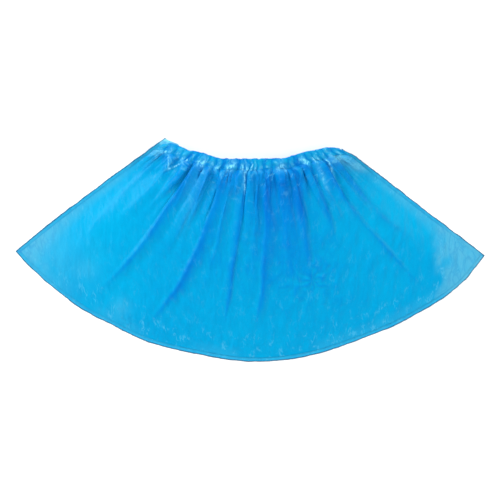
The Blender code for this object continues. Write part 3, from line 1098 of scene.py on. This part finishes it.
class SHOECOVER_OT_elastics(bpy.types.Operator):
    """Lays the elastic strands in the hems"""

    bl_idname = "shoecover.elastics"
    bl_label = "Elastic strands"

    def execute(self, context):
        rubber = rubber_finish("spun rubber", context.scene.film_look)
        for name, level in (("lower", lower_hem_level), ("upper", upper_hem_level)):
            strand = add_strand(name + "_strand", level, rubber)
            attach(strand, "root")
            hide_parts(name + "_elastic")
        return {"FINISHED"}


class SHOECOVER_OT_welds(bpy.types.Operator):
    """Runs the welded ribbons along the sides and the bottom"""

    bl_idname = "shoecover.welds"
    bl_label = "Welded edges"

    def execute(self, context):
        film = film_finish("welded film", context.scene.film_look, 0.08)
        left, left_level = self.side(0.0, LEFT_TAB)
        right, right_level = self.side(1.0, RIGHT_TAB)
        bottom = bottom_edge(np.linspace(0, 1, WELD_STATIONS)) + PLAN_MOVE
        left_out, right_out, bottom_out = -outward(left), outward(right), -outward(bottom)
        left_corner = mitre(left_out[-1], bottom_out[0])
        right_corner = mitre(right_out[-1], bottom_out[-1])
        flat = np.full(WELD_STATIONS, WELD_LEVEL)
        self.lay("left_weld", left, left_level, film, 71, -1, end=left_corner, tab=TAB_FLAP)
        self.lay("right_weld", right, right_level, film, 73, 1, end=right_corner, taper=0.25)
        self.lay("bottom_weld", bottom, flat, film, 90, -1, left_corner, right_corner)
        return {"FINISHED"}

    def side(self, across, tab):
        """The line down one side, from its tab, and its height above the surface."""
        share = np.linspace(0, 1, WELD_STATIONS // 2)
        across = np.full_like(share, across)
        line = place(across, -tab + (full_run(across) + tab) * share)
        hem = upper_hem_level(across[:1])[0]
        return line, WELD_LEVEL + (hem - WELD_LEVEL) * (1 - eased(0.0, 0.22, share))

    def lay(self, name, line, level, film, seed, side, start=None, end=None, tab=0.0, taper=1.0):
        """One weld's ribbon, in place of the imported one."""
        ribbon = add_weld(name + "_film", line, level, film, seed, side, start, end, tab, taper)
        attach(ribbon, "root")
        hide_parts(name)


class SHOECOVER_OT_studio(bpy.types.Operator):
    """Sets up the floor, the soft lights and the camera"""

    bl_idname = "shoecover.studio"
    bl_label = "Studio"

    def execute(self, context):
        look, scene = context.scene.studio_look, context.scene
        self.floor(look)
        for name, place_at, power in (
            ("key_light", (-0.92, 0.84, 0.66), look.key),
            ("right_light", (1.20, 0.55, 1.00), look.fill * 1.3),
            ("front_left_light", (-0.80, -1.15, 0.95), look.fill),
            ("front_right_light", (0.95, -1.05, 1.00), look.fill),
        ):
            self.light(name, place_at, power)
        world = bpy.data.worlds.new("soft sky")
        world.use_nodes = True
        even = world.node_tree.nodes["Background"].inputs
        even["Color"].default_value = (1, 1, 1, 1)
        even["Strength"].default_value = look.sky
        scene.world = world
        scene.view_settings.view_transform = "Standard"
        lens = bpy.data.cameras.new("camera")
        lens.lens = look.lens
        camera = add_object("camera", lens)
        camera.location = (0.0, 0.0, look.framed_width * look.lens / lens.sensor_width)
        scene.camera = camera
        return {"FINISHED"}

    def floor(self, look):
        """A wide floor that curves up into a pale wall all round."""
        mesh = bmesh.new()
        for radius, height in FLOOR:
            mesh.verts.new((radius, 0.0, height))
        mesh.verts.ensure_lookup_table()
        edges = [mesh.edges.new(mesh.verts[i : i + 2]) for i in range(len(FLOOR) - 1)]
        bmesh.ops.spin(
            mesh,
            geom=list(mesh.verts) + edges,
            cent=(0, 0, 0),
            axis=(0, 0, 1),
            angle=2 * math.pi,
            steps=96,
            use_merge=True,
        )
        bmesh.ops.remove_doubles(mesh, verts=mesh.verts, dist=1e-5)
        bmesh.ops.recalc_face_normals(mesh, faces=mesh.faces)
        data = bpy.data.meshes.new("floor")
        mesh.to_mesh(data)
        mesh.free()
        data.materials.append(floor_finish("pale board", look.floor))
        data.shade_smooth()
        floor = add_object("floor", data)

    def light(self, name, place_at, power):
        """A soft lamp that faces the cover and stays out of the picture."""
        lamp = bpy.data.lights.new(name, "AREA")
        lamp.energy, lamp.size = power, LAMP_SIZE
        made = add_object(name, lamp)
        made.location = place_at
        made.rotation_euler = (-Vector(place_at)).to_track_quat("-Z", "Y").to_euler()
        made.visible_camera = False


class SHOECOVER_PT_sidebar(bpy.types.Panel):
    """Lists the shoe cover's builders"""

    bl_idname = "SHOECOVER_PT_sidebar"
    bl_label = "Shoe Cover"
    bl_space_type = "VIEW_3D"
    bl_region_type = "UI"
    bl_category = "Shoe Cover"

    def draw(self, context):
        scene = context.scene
        for group in (scene.cover_shape, scene.film_look, scene.studio_look):
            for name in group.bl_rna.properties.keys():
                if name not in {"rna_type", "name"}:
                    self.layout.prop(group, name)
        for builder in BUILDERS:
            self.layout.operator(builder.bl_idname)


BUILDERS = (
    SHOECOVER_OT_panels,
    SHOECOVER_OT_hems,
    SHOECOVER_OT_elastics,
    SHOECOVER_OT_welds,
    SHOECOVER_OT_studio,
)
CLASSES = (CoverShape, FilmLook, StudioLook, *BUILDERS, SHOECOVER_PT_sidebar)
GROUPS = {"cover_shape": CoverShape, "film_look": FilmLook, "studio_look": StudioLook}


def register():
    for each in CLASSES:
        bpy.utils.register_class(each)
    for name, group in GROUPS.items():
        setattr(bpy.types.Scene, name, bpy.props.PointerProperty(type=group))


def unregister():
    for name in GROUPS:
        delattr(bpy.types.Scene, name)
    for each in reversed(CLASSES):
        bpy.utils.unregister_class(each)


def main():
    register()
    bpy.ops.shoecover.panels()
    bpy.ops.shoecover.hems()
    bpy.ops.shoecover.elastics()
    bpy.ops.shoecover.welds()
    bpy.ops.shoecover.studio()


if __name__ == "__main__":
    main()
